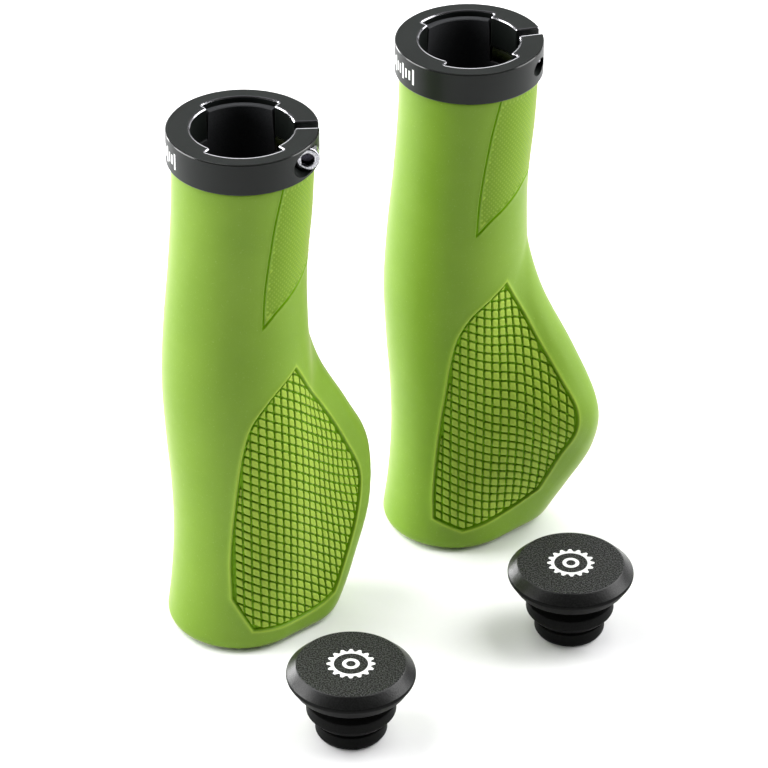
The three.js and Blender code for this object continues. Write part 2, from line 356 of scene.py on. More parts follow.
def smooth_run(points, spacing):
    """Points along a curve through the given ones, which keeps its two ends as corners."""
    p = np.array(points, float)
    if len(p) == 2:
        count = max(1, round(float(np.linalg.norm(p[1] - p[0])) / spacing))
        return [p[0] + (p[1] - p[0]) * i / count for i in range(count)]
    padded = np.vstack([2 * p[0] - p[1], p, 2 * p[-1] - p[-2]])
    out = []
    for a, b, c, d in zip(padded, padded[1:], padded[2:], padded[3:]):
        out_slope = np.linalg.norm(c - b) * (c - a) / (np.linalg.norm(c - b) + np.linalg.norm(b - a))
        in_slope = np.linalg.norm(c - b) * (d - b) / (np.linalg.norm(c - b) + np.linalg.norm(d - c))
        count = max(1, round(float(np.linalg.norm(c - b)) / spacing))
        out += [hermite(t, b, c, out_slope, in_slope) for t in np.arange(count) / count]
    return out


def outline(runs, spacing):
    """A closed outline from runs of points, where each run goes on to the next one's first point."""
    corners = [run[0] for run in runs[1:] + runs[:1]]
    return np.array([
        p for run, corner in zip(runs, corners) for p in smooth_run([*run, corner], spacing)
    ])


def area(polygon):
    """The area, which is negative where the points run clockwise."""
    x, y = polygon[:, 0], polygon[:, 1]
    return float((x * np.roll(y, -1) - y * np.roll(x, -1)).sum() / 2)


def distance_to(points, polygon):
    """Distance from each point to the polygon's edges."""
    a, b = polygon, np.roll(polygon, -1, axis=0)
    edge = b - a
    rel = points[:, None] - a[None]
    t = np.clip((rel * edge).sum(-1) / np.maximum((edge**2).sum(-1), 1e-12), 0, 1)
    return np.linalg.norm(rel - t[..., None] * edge, axis=-1).min(1)


def inside(points, polygon):
    """Which of the points the polygon holds."""
    x, y = points[:, 0][:, None], points[:, 1][:, None]
    a, b = polygon, np.roll(polygon, -1, axis=0)
    crosses = (a[:, 1] > y) != (b[:, 1] > y)
    rise = np.where(b[:, 1] == a[:, 1], 1e-12, b[:, 1] - a[:, 1])
    at = a[:, 0] + (y - a[:, 1]) * (b[:, 0] - a[:, 0]) / rise
    return (crosses & (x < at)).sum(1) % 2 == 1


def mitres(polygon):
    """How far each point of a counterclockwise polygon moves when the sides move out by 1."""
    ahead = np.roll(polygon, -1, axis=0) - polygon
    ahead /= np.linalg.norm(ahead, axis=1, keepdims=True)
    normal = np.stack([ahead[:, 1], -ahead[:, 0]], 1)
    middle = normal + np.roll(normal, 1, axis=0)
    return middle / (middle * normal).sum(1, keepdims=True)


def offset(polygon, outward):
    """The polygon moved outward by a small distance, with mitred corners and no crossings."""
    if abs(outward) < 1e-9:
        return polygon
    ccw = polygon if area(polygon) > 0 else polygon[::-1]
    moved = ccw + mitres(ccw) * outward
    moved = moved[distance_to(moved, ccw) >= abs(outward) * 0.97]
    return moved if area(polygon) > 0 else moved[::-1]


# ---- the sleeve's panels ----

# (s, z) runs, each from a corner towards the next run's
PALM_RUNS = [
    [(9.3, 72), (14, 65), (20.5, 57), (29, 42), (32.7, 34.5), (32.8, 30), (28, 20), (21, 9)],
    [(19.6, 7.3), (16, 6), (10, 5.4), (4, 5.5)],
    [(-3, 6)],
    [(-7.6, 14.7), (-7.65, 26), (-6, 44), (-4.5, 54.5), (-2.6, 61), (0.5, 65.3), (4, 68.6)],
]
FINGER_RUNS = [
    [(8.5, 71), (12.5, 63.5), (16, 55), (20.5, 45.5), (24, 38.5), (24, 33), (20.5, 24.5)],
    [(16.75, 14), (13.5, 11.5), (10, 9.5), (6, 8)],
    [(-2, 6)],
    [(-8.75, 9), (-8.85, 16), (-7.75, 31), (-6, 45), (-4.5, 55.5), (-2.6, 61), (0.5, 65.3)],
]
# Levels of painted light say which colour the rubber takes: -1 is painted shade in a groove, 0 the plain
# skin and 1 a painted highlight on top of a pad
GROOVE_SHADE = -1.0
BORE_SHADE = -2.0  # painted shade inside the bore
# Offset outward from a panel's outline, height over the skin there, and painted light: a painted
# highlight along the lip's crest and painted shade down the groove's wall
PANEL_STEP = [
    (1.2, 0.0, 0.0), (0.75, 0.06, 0.1), (0.4, 0.16, 0.6), (0.2, 0.15, 0.6), (0.05, -0.02, 0.0),
    (-0.05, -0.35, -0.7), (-0.14, -0.68, -1.0), (-0.28, -0.8, -0.9),
]
PANEL_FLOOR = (-0.8, -0.9)  # height, and painted shade on the recess's floor
PAD_MARGIN = 0.42
PAD_CORNER = 0.36
PAD_LEAST = 0.3  # a pad's smallest area, and its smallest width where it is long and thin
ROW_PITCH = 2.27
GROOVE = 0.3
# Distance in from a pad's edge, height over the skin there, and painted light: painted shade at the pad's
# foot and a painted highlight on its rim
PAD_RISE = [(0.04, -0.58, -0.6), (0.1, -0.34, 0.2), (0.22, -0.22, 1.0), (0.42, -0.2, 0.9)]
PAD_CENTRE = (-0.27, 0.6)  # height, and a painted highlight a little weaker than on the pad's rim
# (s, how steeply the rows of pads fall there) across each panel
PALM_SLOPES = [(-9, 0.3), (-5, 0.5), (4, 0.6), (12, 0.78), (20, 0.78), (27, 0.68), (33, 0.5)]
FINGER_SLOPES = [(-9, 0.28), (-4, 0.45), (2, 0.42), (7.5, 0.14), (13, 0.45), (18, 0.6), (25, 0.62)]
# The columns' edges: first s, pitch, and the extra width where the body meets the wing's flank
PALM_COLUMNS = {"first": -8.8, "pitch": 1.93, "extra": 1.3, "between": (8.4, 15)}
FINGER_COLUMNS = {"first": -10.6, "pitch": 1.9, "extra": 0.0, "between": (0, 1)}
# The side of the sleeve that a panel is on, -1 for the palm's, and its shape
PANELS = [
    (-1, PALM_RUNS, PALM_SLOPES, PALM_COLUMNS),
    (1, FINGER_RUNS, FINGER_SLOPES, FINGER_COLUMNS),
]

# (degrees from the wing's direction, z) along one half of the leaf's outline
LEAF_SIDE = [
    (67, 121), (68, 118.8), (75, 111), (78.5, 106), (82, 100), (84.6, 95), (86.4, 90), (87.5, 85),
]
LEAF_LOW = [(87.5, 85), (75, 88), (60, 90.4), (45, 92.6), (30, 94.5), (0, 95.4)]
# Offset outward from the leaf's outline, and height over the skin there
LEAF_STEP = [
    (0.55, 0.0), (0.34, 0.05), (0.19, -0.16), (0.0, -0.5), (-0.19, -0.18), (-0.34, -0.02), (-0.55, -0.1),
]
HATCH_PITCH = 0.9
HATCH_MIDDLE = 104
# Shift in steps, height over the skin and painted light of the two lattices that make the hatching:
# painted shade on the lines and a painted highlight on the peaks
HATCH_LINES = (0.0, -0.28, -0.4)
HATCH_PEAKS = (0.5, 0.1, 0.7)

FLAT = 0.3  # millimetres of the flat map for a degree round the sleeve
CDT_LOW, CDT_TOP = FOOT_ROUND, SLEEVE_TOP - TOP_ROUND  # the flat map's lower and upper border
SKIN_STEP = 1.1
SKIN_TURN = 2.5  # degrees
SKIN_CLEAR = 0.5  # from the plain skin's points to any other
BORDER_CLEAR = 0.2  # from the border's plain columns to the leaf's steps


class Skin:
    """The flat map's points, each with a height over the skin and a level of painted light, and its fixed
    edges.
    """

    def __init__(self):
        self.points = []
        self.heights = []
        self.painted_lights = []
        self.edges = []

    def add(self, points, heights, painted_light=0.0, closed=None):
        """Adds points and returns their numbers. closed joins them: True to a loop, False to a line."""
        start = len(self.points)
        self.points.extend(map(tuple, points))
        self.heights.extend(np.broadcast_to(heights, len(points)).tolist())
        self.painted_lights.extend(np.broadcast_to(painted_light, len(points)).tolist())
        if closed is not None:
            count = len(points)
            last = count if closed else count - 1
            self.edges.extend((start + i, start + (i + 1) % count) for i in range(last))
        return range(start, start + len(points))


def flat(side, outline_points):
    """(s, z) points of a side, on the flat map."""
    p = np.asarray(outline_points, float)
    return np.stack([np.degrees(side.theta(p[:, 0], p[:, 1])) * FLAT, p[:, 1]], 1)


def clipped(polygon, window):
    """What of polygon lies in a convex window whose points run counterclockwise."""
    result = list(map(np.array, polygon))
    for a, b in zip(window, np.roll(window, -1, axis=0)):
        edge = b - a
        side = [edge[0] * (p[1] - a[1]) - edge[1] * (p[0] - a[0]) for p in result]
        kept = []
        for i, p in enumerate(result):
            j = (i + 1) % len(result)
            if side[i] >= 0:
                kept.append(p)
            if (side[i] >= 0) != (side[j] >= 0):
                kept.append(p + (result[j] - p) * side[i] / (side[i] - side[j]))
        result = kept
        if not result:
            break
    return np.array(result)


def simplified(polygon, tolerance=0.05, spacing=0.08):
    """The polygon without points that hardly turn or lie close to the next one."""
    following = np.roll(polygon, -1, axis=0)
    points = [p for p, q in zip(polygon, following) if np.linalg.norm(p - q) > spacing]
    i = 0
    while len(points) > 3 and i < len(points):
        a, p, b = points[i - 1], points[i], points[(i + 1) % len(points)]
        chord = b - a
        cross = abs(chord[0] * (p[1] - a[1]) - chord[1] * (p[0] - a[0]))
        if cross / max(np.linalg.norm(chord), 1e-9) < tolerance:
            points.pop(i)
            i = max(i - 1, 0)
        else:
            i += 1
    return np.array(points)


def soft_corners(polygon):
    """Each corner as a three-point curve, and a point in the middle of each long side."""
    out = []
    ends = np.roll(polygon, 1, axis=0), np.roll(polygon, -1, axis=0)
    for before, corner, after in zip(ends[0], polygon, ends[1]):
        cut = corner_cut(before, corner, after, PAD_CORNER, 0.4)
        out += bend(before, corner, after, cut, 2)
        if np.linalg.norm(after - corner) - 2 * cut > 0.5:
            out.append((corner + after) / 2)
    return np.array(out)


def column_edges(columns):
    """The s of each column's edge."""
    at = columns["first"] + columns["pitch"] * np.arange(24)
    start, end = columns["between"]
    return at + columns["extra"] * np.clip((at - start) / (end - start), 0, 1)


def row_fall(slopes, s):
    """How far a row has fallen at s from where it crosses s = 0."""
    step = 0.1
    at = np.arange(-12, 36, step)
    fall = np.cumsum(np.interp(at, *zip(*slopes))) * step
    return np.interp(s, at, fall) - np.interp(0, at, fall)


def too_slight(pad):
    """Whether what is left of a pad is too small or too thin to stand."""
    if len(pad) < 3:
        return True
    length = np.linalg.norm(pad[:, None] - pad[None], axis=-1).max()
    return area(pad) < PAD_LEAST * max(1, length)


def pad_outlines(panel, slopes, columns):
    """Outlines, in (s, z), of the pads that fit in a panel."""
    limit = offset(panel, -PAD_MARGIN)
    low, high = limit.min(0), limit.max(0)
    edges = column_edges(columns)
    pads = []
    for left, right in zip(edges + GROOVE / 2, edges[1:] - GROOVE / 2):
        if right < low[0] or left > high[0]:
            continue
        middle = (left + right) / 2
        falls = row_fall(slopes, np.array([left, right, middle]))
        slope = (falls[1] - falls[0]) / (right - left)
        half = (ROW_PITCH - GROOVE * math.hypot(1, slope)) / 2
        first = math.floor((low[1] + falls.min()) / ROW_PITCH) - 1
        last = math.ceil((high[1] + falls.max()) / ROW_PITCH) + 1
        centres = np.array([(middle, j * ROW_PITCH - falls[2]) for j in range(first, last + 1)])
        near = distance_to(centres, limit) < 2
        within = inside(centres, limit)
        drop_left, drop_right = falls[0] - falls[2], falls[1] - falls[2]
        for (_, z), close, held in zip(centres, near, within):
            pad = np.array([
                (left, z - half - drop_left), (right, z - half - drop_right),
                (right, z + half - drop_right), (left, z + half - drop_left),
            ])
            if close:
                pad = simplified(clipped(limit, pad))
                held = not too_slight(pad)
            if held:
                pads.append(soft_corners(pad))
    return pads


def add_panel(skin, side, runs, slopes, columns):
    """A recessed panel and its pads' outlines. Returns its limit on the flat map, and the pads."""
    panel = outline(runs, 0.45)
    if area(panel) < 0:
        panel = panel[::-1]
    for out, height, painted_light in PANEL_STEP:
        skin.add(flat(side, offset(panel, out)), height, painted_light, closed=True)
    pads = []
    for pad in pad_outlines(panel, slopes, columns):
        if side.sign > 0:
            pad = pad[::-1]
        pads.append((pad, skin.add(flat(side, pad), *PANEL_FLOOR, closed=True)))
    return flat(side, offset(panel, PANEL_STEP[0][0])), pads


def add_pad_tops(skin, side, pads):
    """The pads from their outlines on the floor up to slightly dished tops. Returns their faces."""
    faces = []
    for pad, base in pads:
        centre = pad.mean(0)
        reach = np.linalg.norm(pad - centre, axis=1, keepdims=True)
        low = base
        for inward, height, painted_light in PAD_RISE:
            moved = pad + (centre - pad) * np.minimum(inward / reach, 0.8)
            high = skin.add(flat(side, moved), height, painted_light)
            faces += band(low, high)
            low = high
        middle = skin.add(flat(side, centre[None]), *PAD_CENTRE)[0]
        faces += [(low[i], low[(i + 1) % len(low)], middle) for i in range(len(low))]
    return faces


def leaf_outline():
    """The leaf panel on the flat map, over the wing's side of the sleeve below the ring."""
    side = [(degrees * FLAT, z) for degrees, z in LEAF_SIDE]
    low = [(degrees * FLAT, z) for degrees, z in LEAF_LOW]
    half = smooth_run(side, 0.5) + smooth_run(low, 0.5)
    return np.array([*half, low[-1], *((-u, z) for u, z in reversed(half))])


def add_leaf_groove(skin, leaf):
    """The groove round the leaf. Returns where its steps meet the upper border, and their heights."""
    crossings = []
    for out, height in LEAF_STEP:
        ring = offset(leaf, out)
        inner = ring[ring[:, 1] < CDT_TOP - 0.12]
        ends = []
        for first, second in ((inner[0], inner[1]), (inner[-1], inner[-2])):
            t = (CDT_TOP - second[1]) / (first[1] - second[1])
            ends.append(second + (first - second) * t)
        # the groove's deeper steps take painted shade
        painted_light = GROOVE_SHADE if height < -0.15 else 0.0
        skin.add(np.vstack([ends[0], inner, ends[1]]), height, painted_light, closed=False)
        crossings += [(end[0], height) for end in ends]
    return crossings


def add_lattice(skin, field, shift, height, painted_light):
    """Points on two sets of diagonals, where they fall in the field. Returns their numbers by place."""
    index = np.arange(-60, 61)
    i, j = (grid.ravel() for grid in np.meshgrid(index, index))
    step = HATCH_PITCH / math.sqrt(2)
    points = np.stack([(i + j + 2 * shift) * step, (i - j) * step + HATCH_MIDDLE], 1)
    held = inside(points, field) & (points[:, 1] < CDT_TOP - 0.3)
    added = skin.add(points[held], height, painted_light)
    return dict(zip(zip(i[held].tolist(), j[held].tolist()), added))


def add_hatching(skin, leaf):
    """Fine crossing lines in the leaf, with a low peak in each diamond between them."""
    field = offset(leaf, LEAF_STEP[-1][0] - 0.12)
    # the lines take painted shade and the peaks a painted highlight
    lines = add_lattice(skin, field, *HATCH_LINES)
    add_lattice(skin, field, *HATCH_PEAKS)
    for (a, b), n in lines.items():
        for neighbour in ((a + 1, b), (a, b + 1)):
            if neighbour in lines:
                skin.edges.append((n, lines[neighbour]))


def add_plain_skin(skin, limits):
    """The plain skin, on a grid that stays clear of what is there already. Returns its columns."""
    tree = KDTree(len(skin.points))
    for n, (u, z) in enumerate(skin.points):
        tree.insert((u, z, 0), n)
    tree.balance()
    rows = round((CDT_TOP - CDT_LOW) / SKIN_STEP)
    heights = np.linspace(CDT_LOW, CDT_TOP, rows + 1)[1:-1]
    columns = np.arange(-180, 180 + SKIN_TURN / 2, SKIN_TURN) * FLAT
    grid = np.array([(u, z) for z in heights for u in columns[1:-1]])
    for limit in limits:
        grid = grid[~inside(grid, limit)]
    skin.add([p for p in grid if tree.find((p[0], p[1], 0))[2] > SKIN_CLEAR], 0.0)
    for u in (columns[0], columns[-1]):
        skin.add([(u, z) for z in heights], 0.0)
    return columns


def border_heights(columns, crossings):
    """The height over the skin at each u of the upper border, which the leaf's steps cross."""
    leaf_edge = min(abs(u) for u, _ in crossings)
    border = {}
    for u in columns:
        if min(abs(u - at) for at, _ in crossings) > BORDER_CLEAR:
            border[round(float(u), 6)] = LEAF_STEP[-1][1] if abs(u) < leaf_edge else 0.0
    border.update((round(float(u), 6), height) for u, height in crossings)
    return border


def triangulated(skin, pads):
    """Triangles of the flat map, except inside the pads' outlines."""
    made = delaunay_2d_cdt([Vector(p) for p in skin.points], skin.edges, [], 0, 1e-5)
    triangles, origins = made[2], made[3]
    source = [min(found) for found in origins]
    owner = np.full(len(skin.points), -1)
    for n, (_, base) in enumerate(pads):
        owner[list(base)] = n
    faces = []
    for triangle in triangles:
        ids = tuple(source[k] for k in triangle)
        a, b, c = owner[list(ids)]
        if len(set(ids)) == 3 and not (a >= 0 and a == b == c):
            faces.append(ids)
    return faces


def closing_rings(turn, top_heights):
    """Rings from the upper border over the top, down the bore and round the foot to the lower one."""
    def rounding(radius, degrees):
        angle = math.radians(degrees)
        return radius * (1 - math.sin(angle)), radius * (1 - math.cos(angle))

    rings = []
    for degrees in (30, 60, 90):
        down, inset = rounding(TOP_ROUND, degrees)
        rings.append(sleeve_point(turn, np.full(len(turn), SLEEVE_TOP - down), inset - top_heights))
    beside_slot = from_slot(np.degrees(turn)) < 90 - TAB_HALF - TAB_RAMP
    collar = CORE_COLLAR + GAP
    tube = CORE_TUBE + GAP
    lug = np.where(beside_slot, LUG_BORE, collar)
    sections = [
        (lug + 0.25, SLEEVE_TOP),
        (lug, SLEEVE_TOP - 0.25),
        (lug, COLLAR_TOP + GAP),
        (collar, COLLAR_TOP + GAP),
        (collar, COLLAR_LOW - GAP),
        (tube, COLLAR_LOW - GAP),
        (tube, 60),
        (tube, 0.4),
        (tube + 0.4, 0),
    ]
    rings += [ring_at(turn, *section) for section in sections]
    for degrees in (90, 78, 64, 50, 36, 24, 12):
        up, inset = rounding(FOOT_ROUND, degrees)
        rings.append(sleeve_point(turn, np.full(len(turn), up), inset))
    return rings


def sleeve_mesh():
    """Vertices in millimetres, faces and levels of painted light of a whole sleeve, as one closed skin.
    """
    skin = Skin()
    panels = []
    for sign, *shape in PANELS:
        side = Side(sign)
        panels.append((side, *add_panel(skin, side, *shape)))
    leaf = leaf_outline()
    crossings = add_leaf_groove(skin, leaf)
    add_hatching(skin, leaf)
    columns = add_plain_skin(skin, [limit for _, limit, _ in panels] + [leaf])

    # the two borders share one list of columns, so that the bore can join them
    border = border_heights(columns, crossings)
    around = sorted(border)
    heights = [border[u] for u in around]
    top = skin.add([(u, CDT_TOP) for u in around], heights, closed=False)
    low = skin.add([(u, CDT_LOW) for u in around], 0.0, closed=False)

    faces = triangulated(skin, [pad for _, _, pads in panels for pad in pads])
    for side, _, pads in panels:
        faces += add_pad_tops(skin, side, pads)
    flat_map = np.array(skin.points)
    theta, z = np.radians(flat_map[:, 0] / FLAT), flat_map[:, 1]
    outer = sleeve_point(theta, z) + sleeve_normal(theta, z) * np.array(skin.heights)[:, None]

    turn = np.radians(np.array(around[:-1]) / FLAT)
    rings = closing_rings(turn, np.array(heights[:-1]))
    count = len(turn)
    starts = [len(outer) + n * count for n in range(len(rings))]
    ids = [top[:-1], *(range(start, start + count) for start in starts), low[:-1]]
    for a, b in zip(ids, ids[1:]):
        faces += band(a, b)
    closing = np.concatenate(rings)
    # the rubber in the bore takes painted shade
    bore_shade_mask = np.hypot(closing[:, 0], closing[:, 1]) < CORE_COLLAR + 2 * GAP
    painted_lights = np.concatenate([skin.painted_lights, np.where(bore_shade_mask, BORE_SHADE, 0.0)])
    return np.concatenate([outer, closing]), faces, painted_lights


# ---- materials ----

def tree_of(name):
    """A new material, its node tree and the shader in it."""
    material = bpy.data.materials.new(name)
    material.use_nodes = True
    tree = material.node_tree
    tree.nodes.clear()
    output = add_node(tree, "ShaderNodeOutputMaterial")
    shader = add_node(tree, "ShaderNodeBsdfPrincipled")
    tree.links.new(shader.outputs["BSDF"], output.inputs["Surface"])
    return material, tree, shader


def fill(tree, node, **values):
    """A value named like a node's setting is set, and any other is an input's, with _ for a space."""
    for key, value in values.items():
        if hasattr(node, key):
            setattr(node, key, value)
        else:
            connect(tree, value, node.inputs[key.replace("_", " ")])


def connect(tree, value, socket):
    if isinstance(value, bpy.types.NodeSocket):
        tree.links.new(value, socket)
    else:
        socket.default_value = value


def add_node(tree, kind, **values):
    made = tree.nodes.new(kind)
    fill(tree, made, **values)
    return made


def noise(tree, scale, detail=2.0, rough=0.5):
    """Noise in object space, with scale in cycles per metre."""
    place = add_node(tree, "ShaderNodeTexCoord").outputs["Object"]
    made = add_node(
        tree, "ShaderNodeTexNoise", Vector=place, Scale=scale, Detail=detail, Roughness=rough
    )
    return made.outputs["Fac"]


def spread(tree, value, low, high, from_low=0.0, from_high=1.0):
    """The value's range from_low to from_high mapped to low to high, and held there."""
    made = add_node(
        tree, "ShaderNodeMapRange",
        Value=value, From_Min=from_low, From_Max=from_high, To_Min=low, To_Max=high,
    )
    return made.outputs["Result"]


def mixed(tree, factor, a, b):
    """Colour a where the factor is 0, and b where it is 1."""
    # several of this node's sockets share a name, so they go by number
    made = add_node(tree, "ShaderNodeMix", data_type="RGBA")
    for number, value in ((0, factor), (6, a), (7, b)):
        connect(tree, value, made.inputs[number])
    return made.outputs[2]


def tinted(tree, value, dark, light, low, high):
    """From the dark colour to the light one where the value goes from low to high."""
    return mixed(tree, spread(tree, value, 0, 1, low, high), dark, light)


def bump(tree, height, strength, distance):
    made = add_node(tree, "ShaderNodeBump", Strength=strength, Distance=distance, Height=height)
    return made.outputs["Normal"]


def colour(r, g, b):
    return (r, g, b, 1.0)


def rubber_material():
    """Lime moulded rubber: matt with a soft sheen, with painted shade in the grooves and the bore and a
    painted highlight, lighter and yellower, on the pads and the panels' lips.
    """
    material, tree, shader = tree_of("lime_rubber")
    painted_light = add_node(tree, "ShaderNodeAttribute", attribute_name="painted_light").outputs["Fac"]
    patch = noise(tree, 60, 3)
    skin = tinted(tree, patch, colour(0.152, 0.277, 0.0095), colour(0.168, 0.297, 0.013), 0.35, 0.65)
    groove_shade_mask = spread(tree, painted_light, 1, 0, GROOVE_SHADE, 0)
    bore_shade_mask = spread(tree, painted_light, 1, 0, BORE_SHADE, GROOVE_SHADE)
    pad_highlight_mask = spread(tree, painted_light, 0, 1, 0, 1)
    # painted shade: darker and more saturated in the grooves
    shaded_groove_colour = mixed(tree, groove_shade_mask, skin, colour(0.158, 0.352, 0.0008))
    # painted shade: near black inside the bore
    shaded_bore_colour = mixed(tree, bore_shade_mask, shaded_groove_colour, colour(0.012, 0.016, 0.004))
    # painted highlight: lighter and yellower on the pads' tops and the panels' lips
    pads = mixed(tree, pad_highlight_mask, shaded_bore_colour, colour(0.33, 0.475, 0.036))
    speckle = noise(tree, 2600, 2, 0.6)
    bright_speck = spread(tree, speckle, 0, 0.35, 0.62, 0.8)
    fill(
        tree, shader,
        Base_Color=mixed(tree, bright_speck, pads, colour(0.34, 0.46, 0.11)),
        Roughness=spread(tree, noise(tree, 400, 2), 0.5, 0.62),
        Normal=bump(tree, speckle, 0.25, 0.00004),
        Specular_IOR_Level=spread(tree, painted_light, 0.1, 0.3, GROOVE_SHADE, 0),
        Sheen_Weight=spread(tree, painted_light, 0.04, 0.44, GROOVE_SHADE, 0),
        Sheen_Roughness=0.28,
        Sheen_Tint=colour(1.0, 0.8, 0.72),
    )
    return material


def anodised_material():
    """Black anodised aluminium with a fine blasted grain."""
    material, tree, shader = tree_of("black_anodised")
    grain = noise(tree, 5200, 2, 0.6)
    cloud = noise(tree, 90, 2)
    dark, light = colour(0.006, 0.0076, 0.0066), colour(0.0085, 0.0106, 0.0093)
    fill(
        tree, shader,
        Base_Color=tinted(tree, cloud, dark, light, 0.3, 0.7),
        Roughness=spread(tree, grain, 0.34, 0.46),
        Normal=bump(tree, grain, 0.25, 0.00002),
        Specular_IOR_Level=0.2,
    )
    return material


def grained_material(name, grain, dark, light, window, rough=None, relief=None, **inputs):
    """A material whose colour and roughness follow one noise. relief is a bump's strength and depth."""
    material, tree, shader = tree_of(name)
    marks = noise(tree, *grain)
    if rough:
        inputs["Roughness"] = spread(tree, marks, *rough)
    if relief:
        inputs["Normal"] = bump(tree, marks, *relief)
    fill(tree, shader, Base_Color=tinted(tree, marks, dark, light, *window), **inputs)
    return material


def plug_material(name, grain, dark, light, strength, rough, gloss):
    """Black moulded plastic with a speckled grain, whose dark and light ends are grey levels."""
    material, tree, shader = tree_of(name)
    specks = spread(tree, noise(tree, 3000, 1), 0, 1, *grain)
    fill(
        tree, shader,
        Base_Color=mixed(tree, specks, colour(dark, dark, dark), colour(light, 1.04 * light, light)),
        Roughness=spread(tree, specks, *rough),
        Normal=bump(tree, specks, strength, 0.00008),
        Specular_IOR_Level=gloss,
    )
    return material


RUBBER = rubber_material()
ANODISED = anodised_material()
# the ring's edges, turned smooth with fine lines
MACHINED = grained_material(
    "machined_edge", (7000, 1), colour(0.42, 0.42, 0.44), colour(0.6, 0.59, 0.62),
    (0.3, 0.7), (0.12, 0.22), Metallic=1.0,
)
POLISHED = grained_material(
    "polished_edge", (7000, 1), colour(0.008, 0.009, 0.008), colour(0.014, 0.015, 0.014),
    (0.3, 0.7), (0.12, 0.22), Metallic=0.0,
)
# plated steel with faint turning marks
STEEL = grained_material(
    "zinc_steel", (3500, 3), colour(0.22, 0.22, 0.24), colour(0.5, 0.5, 0.52),
    (0.4, 0.62), (0.14, 0.28), (0.25, 0.00002), Metallic=1.0,
)
# the screw's steel with painted shade, darker, for the hex socket's hollow
SOCKET_PAINTED_SHADE = grained_material(
    "socket_painted_shade", (3500, 3), colour(0.035, 0.032, 0.045), colour(0.07, 0.065, 0.085),
    (0.4, 0.62), (0.35, 0.49), (0.25, 0.00002), Metallic=1.0,
)
NYLON = grained_material(
    "black_nylon", (3000, 2), colour(0.03, 0.031, 0.033), colour(0.042, 0.043, 0.046),
    (0.3, 0.7), (0.42, 0.6), (0.15, 0.00002), Specular_IOR_Level=0.12,
)
# pad-printed ink, slightly uneven
PRINT = grained_material(
    "white_print", (1800, 3), colour(0.74, 0.75, 0.74), colour(0.84, 0.84, 0.83),
    (0.3, 0.7), (0.4, 0.6),
)
PAPER = grained_material(
    "studio_paper", (500, 3), colour(0.9, 0.9, 0.905), colour(0.92, 0.92, 0.925),
    (0, 1), Roughness=0.9, Specular_IOR_Level=0.1,
)
PLUG_SMOOTH = plug_material("plug_plastic_smooth", (0.3, 0.7), 0.005, 0.008, 0.05, (0.42, 0.5), 0.03)
PLUG_RIM = plug_material("plug_plastic_rim", (0.4, 0.64), 0.003, 0.009, 0.2, (0.34, 0.28), 0.27)
PLUG_GRAIN = plug_material("plug_plastic_grained", (0.46, 0.64), 0.005, 0.052, 0.9, (0.5, 0.34), 0.16)


# ---- the pieces ----

def keep(piece, body, node):
    """Joins the piece's coinciding points, and says what it rides on and stands for."""
    shape = bmesh.new()
    shape.from_mesh(piece.data)
    bmesh.ops.remove_doubles(shape, verts=shape.verts, dist=WELD)
    shape.to_mesh(piece.data)
    shape.free()
    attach(piece, body)
    if node:
        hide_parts(node)


def make_sleeve(grip, vertices, faces, painted_lights):
    piece = grip.piece("rubber_sleeve", vertices, faces, [RUBBER])
    # the rubber's painted shade and highlights, read by its material
    painted_light = piece.data.attributes.new("painted_light", "FLOAT", "POINT")
    painted_light.data.foreach_set("value", painted_lights.astype(np.float32))
    keep(piece, f"{grip.side}_grip", f"{grip.side}_sleeve")


def make_core(grip):
    """The core's tube and collar, with the two tabs standing up into the ring's recesses."""
    turn = whole_turn(240)
    away = from_slot(np.degrees(turn))
    share = np.clip(0.5 - (np.abs(away - 90) - TAB_HALF) / TAB_RAMP, 0, 1)
    low = np.where(away > 90, WALL_TOP, COLLAR_TOP)
    top = low + (TAB_TOP - low) * share
    sections = [
        (CORE_BORE + 0.3, CORE_FOOT),
        (CORE_TUBE - 0.15, CORE_FOOT),
        (CORE_TUBE, CORE_FOOT + 0.15),
        (CORE_TUBE, COLLAR_LOW),
        (CORE_COLLAR, COLLAR_LOW),
        (CORE_COLLAR, COLLAR_TOP - 0.2),
        (CORE_COLLAR, top - 0.2),
        (CORE_COLLAR - 0.2, top),
        (CORE_BORE + 0.2, top),
        (CORE_BORE, top - 0.2),
        (CORE_BORE, COLLAR_TOP - 0.2),
        (CORE_BORE, CORE_FOOT + 0.3),
    ]
    vertices, faces = loft([ring_at(turn, *section) for section in sections], closed=True)
    piece = grip.piece("core_tube", vertices, faces, [NYLON], sharp=30)
    keep(piece, f"{grip.side}_grip", f"{grip.side}_core")


def arc(radius, start, end, step=1.5):
    count = max(1, math.ceil(abs(end - start) / step))
    angle = np.radians(np.linspace(start, end, count + 1))
    return np.stack([radius * np.cos(angle), radius * np.sin(angle)], 1)


def ring_plan():
    """The split ring seen from above: an open C with its slot along +X."""
    def slot_at(radius):
        return math.degrees(math.asin(RING_SLOT / 2 / radius))

    start, end = 90 - RECESS_HALF, 90 + RECESS_HALF
    runs = [
        arc(RING_RADIUS, slot_at(RING_RADIUS), 360 - slot_at(RING_RADIUS)),
        arc(RING_LAND, -slot_at(RING_LAND), -start),
        arc(RING_RECESS, -start, -end),
        arc(RING_LAND, -end, end - 360),
        arc(RING_RECESS, end, start),
        arc(RING_LAND, start, slot_at(RING_LAND)),
    ]
    points = []
    for n, run in enumerate(runs):
        before, after = runs[n - 1][-1], runs[(n + 1) % len(runs)][0]
        from_ends = np.minimum(*(np.linalg.norm(run - end, axis=1) for end in (run[0], run[-1])))
        points += bend(before, run[0], run[1], RING_CORNER, 4)
        points += list(run[from_ends > 1.2 * RING_CORNER])
        points += bend(run[-2], run[-1], after, RING_CORNER, 4)
    return np.array(points)


